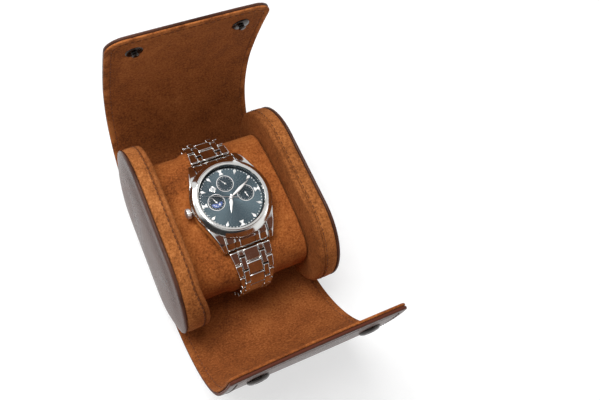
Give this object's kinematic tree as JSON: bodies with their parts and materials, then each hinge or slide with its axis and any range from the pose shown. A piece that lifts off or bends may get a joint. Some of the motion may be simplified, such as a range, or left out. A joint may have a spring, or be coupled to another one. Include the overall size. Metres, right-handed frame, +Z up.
{
  "type": "watch travel case",
  "caption": "Open leather roll case with oval end caps, suede lining, snap fasteners and a lift-out cushion that carries a steel wristwatch on a link bracelet.",
  "frame": {"origin": "on the surface that the case stands on, under the middle of its flat base", "axes": "+X along the case's axis to the right end cap, +Y back towards the lid, +Z up"},
  "size_m": [0.0864, 0.1604, 0.113],
  "materials": {
    "leather": "smooth dark brown leather with a soft grey sheen",
    "suede": "tan suede",
    "cushion_suede": "tan suede over padding",
    "foam": "matt foam",
    "board": "raw fibreboard",
    "gunmetal": "dark polished metal",
    "steel": "polished steel",
    "silver": "polished silver",
    "dial": "dark blue-black satin",
    "movement": "plated brass",
    "crystal": "clear"
  },
  "bodies": {
    "case": {"base_leather": "leather", "base_lining": "suede", "left_end_band": "suede", "left_end_core": "board", "left_end_disc": "leather", "left_end_face": "suede", "right_end_band": "suede", "right_end_core": "board", "right_end_disc": "leather", "right_end_face": "suede"},
    "lid_1": {"lid_leather_1": "leather", "lid_lining_1": "suede"},
    "lid_2": {"lid_leather_2": "leather", "lid_lining_2": "suede"},
    "lid_3": {"lid_leather_3": "leather", "lid_lining_3": "suede"},
    "lid_4": {"lid_leather_4": "leather", "lid_lining_4": "suede", "snap_studs": "gunmetal"},
    "flap_1": {"flap_leather_1": "leather", "flap_lining_1": "suede"},
    "flap_2": {"flap_leather_2": "leather", "flap_lining_2": "suede"},
    "flap_3": {"flap_leather_3": "leather", "flap_lining_3": "suede"},
    "flap_4": {"flap_leather_4": "leather", "flap_lining_4": "suede", "snap_sockets": "gunmetal"},
    "cushion": {"bracelet_centre_links": "steel", "bracelet_end_links": "steel", "bracelet_link_pins": "steel", "bracelet_narrow_links": "steel", "bracelet_outer_links": "steel", "bracelet_spring_bars": "steel", "clasp_blades": "steel", "clasp_cover": "steel", "cushion_core": "foam", "cushion_cover": "cushion_suede", "watch_bezel": "steel", "watch_case": "steel", "watch_case_back": "steel", "watch_chapter_ring": "dial", "watch_crystal": "crystal", "watch_dial": "dial", "watch_hand_arbors": "silver", "watch_hour_markers": "silver", "watch_movement": "movement", "watch_subdial_rings": "silver"},
    "hour_hand": {"watch_hour_hand": "silver"},
    "minute_hand": {"watch_minute_hand": "silver"},
    "second_hand": {"watch_second_hand": "silver"},
    "day_night_hand": {"watch_day_night_hand": "silver"},
    "date_hand": {"watch_date_hand": "silver"},
    "weekday_hand": {"watch_weekday_hand": "silver"},
    "stem": {"watch_stem": "steel"},
    "crown": {"watch_crown": "steel"}
  },
  "joints": [
    {"name": "lid_fold_1", "type": "hinge", "parent": "case", "child": "lid_1", "pos_m": [0, 0.03192, 0.0037], "axis": [1, 0, 0], "range_deg": [0, 19], "stiffness_Nm_per_rad": 2},
    {"name": "lid_fold_2", "type": "hinge", "parent": "lid_1", "child": "lid_2", "pos_m": [0, 0.05677, 0.01691], "axis": [1, 0, 0], "range_deg": [0, 20.5]},
    {"name": "lid_fold_3", "type": "hinge", "parent": "lid_2", "child": "lid_3", "pos_m": [0, 0.06985, 0.04203], "axis": [1, 0, 0], "range_deg": [0, 19.5]},
    {"name": "lid_fold_4", "type": "hinge", "parent": "lid_3", "child": "lid_4", "pos_m": [0, 0.07153, 0.06769], "axis": [1, 0, 0], "range_deg": [0, 20]},
    {"name": "flap_fold_1", "type": "hinge", "parent": "case", "child": "flap_1", "pos_m": [0, -0.03102, 0.00308], "axis": [-1, 0, 0], "range_deg": [0, 27], "stiffness_Nm_per_rad": 2},
    {"name": "flap_fold_2", "type": "hinge", "parent": "flap_1", "child": "flap_2", "pos_m": [0, -0.05585, 0.0109], "axis": [-1, 0, 0], "range_deg": [0, 21.5]},
    {"name": "flap_fold_3", "type": "hinge", "parent": "flap_2", "child": "flap_3", "pos_m": [0, -0.07394, 0.02964], "axis": [-1, 0, 0], "range_deg": [0, 19.5]},
    {"name": "flap_fold_4", "type": "hinge", "parent": "flap_3", "child": "flap_4", "pos_m": [0, -0.0806, 0.05214], "axis": [-1, 0, 0], "range_deg": [0, 20]},
    {"name": "cushion_lift", "type": "slide", "parent": "case", "child": "cushion", "axis": [0, 0, 1], "range_m": [0, 0.11]},
    {"name": "hour_hand_turn", "type": "hinge", "parent": "cushion", "child": "hour_hand", "pos_m": [0, 0, 0.0549], "axis": [0, 0, -1], "continuous": true},
    {"name": "minute_hand_turn", "type": "hinge", "parent": "cushion", "child": "minute_hand", "pos_m": [0, 0, 0.0549], "axis": [0, 0, -1], "continuous": true},
    {"name": "second_hand_turn", "type": "hinge", "parent": "cushion", "child": "second_hand", "pos_m": [0, 0, 0.0549], "axis": [0, 0, -1], "continuous": true},
    {"name": "day_night_hand_turn", "type": "hinge", "parent": "cushion", "child": "day_night_hand", "pos_m": [-0.0079, 0, 0.0549], "axis": [0, 0, -1], "continuous": true},
    {"name": "date_hand_turn", "type": "hinge", "parent": "cushion", "child": "date_hand", "pos_m": [0, 0.0079, 0.0549], "axis": [0, 0, -1], "continuous": true},
    {"name": "weekday_hand_turn", "type": "hinge", "parent": "cushion", "child": "weekday_hand", "pos_m": [0.0079, 0, 0.0549], "axis": [0, 0, -1], "continuous": true},
    {"name": "crown_pull", "type": "slide", "parent": "cushion", "child": "stem", "axis": [-1, 0, 0], "range_m": [0, 0.0015]},
    {"name": "crown_turn", "type": "hinge", "parent": "stem", "child": "crown", "pos_m": [-0.02135, 0, 0.0523], "axis": [-1, 0, 0], "continuous": true}
  ],
  "couplings": [
    {"joint": "lid_fold_2", "follows": "lid_fold_1", "ratio": 1.0789},
    {"joint": "lid_fold_3", "follows": "lid_fold_1", "ratio": 1.0263},
    {"joint": "lid_fold_4", "follows": "lid_fold_1", "ratio": 1.0526},
    {"joint": "flap_fold_2", "follows": "flap_fold_1", "ratio": 0.7963},
    {"joint": "flap_fold_3", "follows": "flap_fold_1", "ratio": 0.72222},
    {"joint": "flap_fold_4", "follows": "flap_fold_1", "ratio": 0.74074},
    {"joint": "hour_hand_turn", "follows": "minute_hand_turn", "ratio": 0.083333},
    {"joint": "day_night_hand_turn", "follows": "minute_hand_turn", "ratio": 0.041667}
  ]
}
